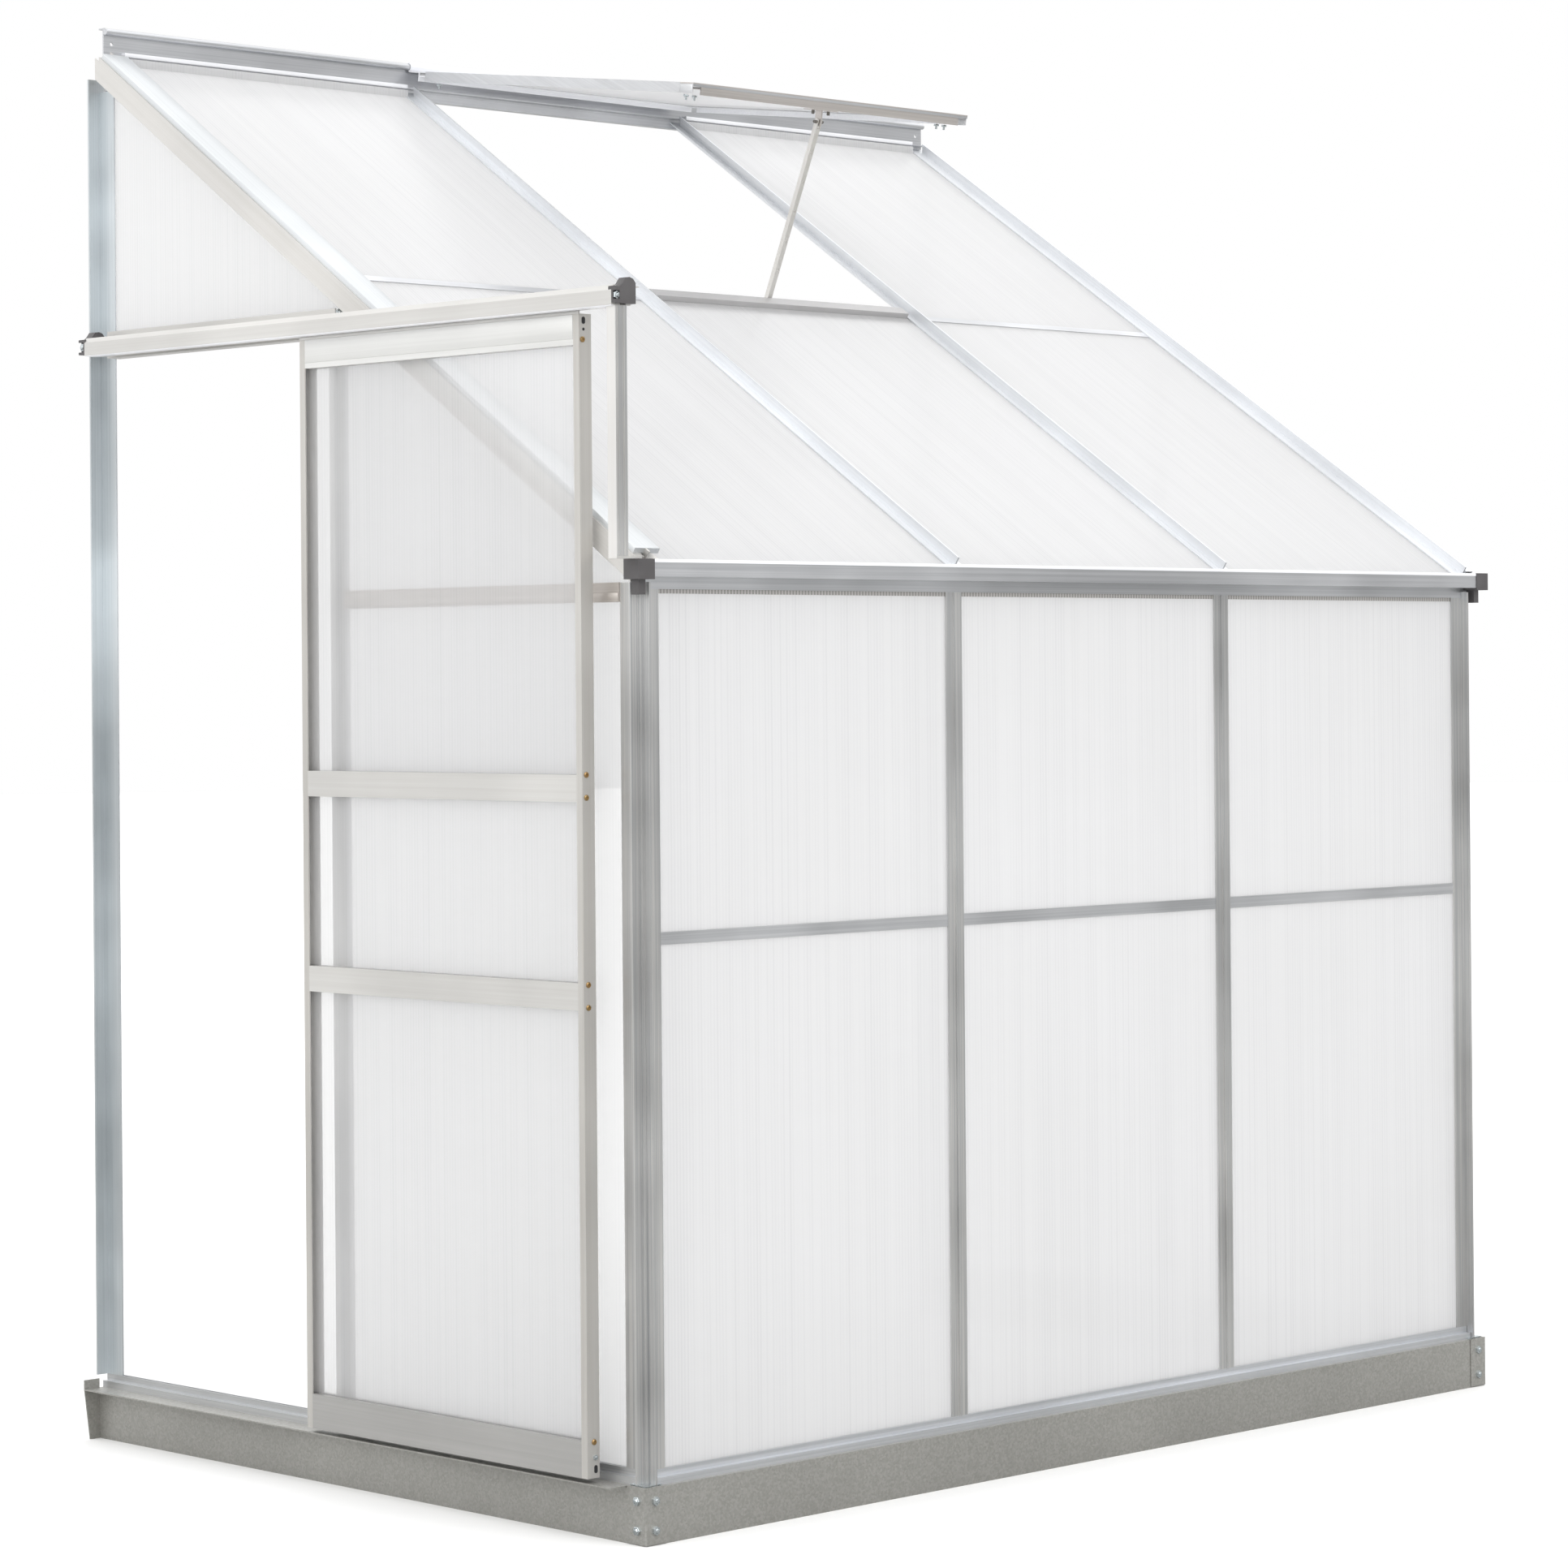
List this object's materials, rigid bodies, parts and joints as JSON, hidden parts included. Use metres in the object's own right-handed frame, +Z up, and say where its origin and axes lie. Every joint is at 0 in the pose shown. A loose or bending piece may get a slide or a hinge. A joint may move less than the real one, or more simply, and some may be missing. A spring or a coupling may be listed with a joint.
{
  "type": "lean-to greenhouse",
  "caption": "Lean-to greenhouse with an aluminium frame on a steel base, twin-wall panels, a sliding door in one gable and a hinged roof vent on a stay.",
  "frame": {"origin": "on the ground, under the middle of the footprint's bounding box", "axes": "+X along the front wall from the door gable to the far gable, +Y towards the house wall, +Z up"},
  "size_m": [1.9214, 1.2654, 2.1846],
  "materials": {
    "aluminium": "mill-finish extrusion, fine lines along the section",
    "galvanised_steel": "hot-dip galvanised sheet, faint spangle",
    "black_plastic": "moulded, fine matt grain",
    "nylon": "turned, smooth",
    "twin_wall": "extruded twin-wall sheet, milky, fine upright ribs"
  },
  "bodies": {
    "frame": {"base_rail_front": "galvanised_steel", "base_rail_door_side": "galvanised_steel", "base_rail_far_side": "galvanised_steel", "sill_front": "aluminium", "sill_door_side": "aluminium", "sill_far_side": "aluminium", "corner_post_left": "aluminium", "corner_post_right": "aluminium", "front_post_left": "aluminium", "front_post_right": "aluminium", "wall_post_left": "aluminium", "wall_post_right": "aluminium", "door_jamb": "aluminium", "far_gable_post": "aluminium", "gable_header_left": "aluminium", "gable_header_right": "aluminium", "eave_beam": "aluminium", "eave_cap_left": "black_plastic", "eave_cap_right": "black_plastic", "ridge_bar": "aluminium", "door_transom": "aluminium", "door_track": "aluminium", "track_outrigger": "aluminium", "front_panel_lower_1": "twin_wall", "front_panel_upper_1": "twin_wall", "front_panel_lower_2": "twin_wall", "front_panel_upper_2": "twin_wall", "front_panel_lower_3": "twin_wall", "front_panel_upper_3": "twin_wall", "door_gable_front_panel": "twin_wall", "door_gable_top_panel": "twin_wall", "far_gable_front_panel": "twin_wall", "far_gable_back_panel": "twin_wall", "rafter_gable_left": "aluminium", "rafter_mid_left": "aluminium", "rafter_mid_right": "aluminium", "rafter_gable_right": "aluminium", "vent_sill": "aluminium", "roof_panel_lower_1": "twin_wall", "roof_panel_upper_1": "twin_wall", "roof_panel_lower_2": "twin_wall", "roof_panel_lower_3": "twin_wall", "roof_panel_upper_3": "twin_wall"},
    "door": {"door_stile_near": "aluminium", "door_stile_far": "aluminium", "door_rail_top": "aluminium", "door_rail_upper": "aluminium", "door_rail_lower": "aluminium", "door_rail_bottom": "aluminium", "door_panel_top": "twin_wall", "door_panel_middle": "twin_wall", "door_panel_bottom": "twin_wall"},
    "roller_near": {"door_roller_near": "nylon"},
    "roller_far": {"door_roller_far": "nylon"},
    "vent": {"vent_hinge_rail": "aluminium", "vent_side_left": "aluminium", "vent_side_right": "aluminium", "vent_front_rail": "aluminium", "vent_panel": "twin_wall"},
    "stay": {"vent_stay": "aluminium"}
  },
  "joints": [
    {"name": "door_slide", "type": "slide", "parent": "frame", "child": "door", "axis": [0, 1, 0], "range_m": [-0.062, 0.52]},
    {"name": "roller_near_spin", "type": "hinge", "parent": "door", "child": "roller_near", "pos_m": [-0.94775, -0.47425, 1.68032], "axis": [1, 0, 0], "range_deg": [-3312, 396]},
    {"name": "roller_far_spin", "type": "hinge", "parent": "door", "child": "roller_far", "pos_m": [-0.94775, 0.01675, 1.68032], "axis": [1, 0, 0], "range_deg": [-3312, 396]},
    {"name": "vent_hinge", "type": "hinge", "parent": "frame", "child": "vent", "pos_m": [0.01925, 0.61575, 2.177], "axis": [1, 0, 0], "range_deg": [0, 25.9]},
    {"name": "stay_hinge", "type": "hinge", "parent": "vent", "child": "stay", "pos_m": [0.00325, -0.04847, 2.04696], "axis": [1, 0, 0], "range_deg": [-10.4, 0]}
  ],
  "couplings": [
    {"joint": "roller_near_spin", "follows": "door_slide", "rad_per_m": -111.11},
    {"joint": "roller_far_spin", "follows": "door_slide", "rad_per_m": -111.11},
    {"joint": "stay_hinge", "follows": "vent_hinge", "ratio": -0.4}
  ]
}
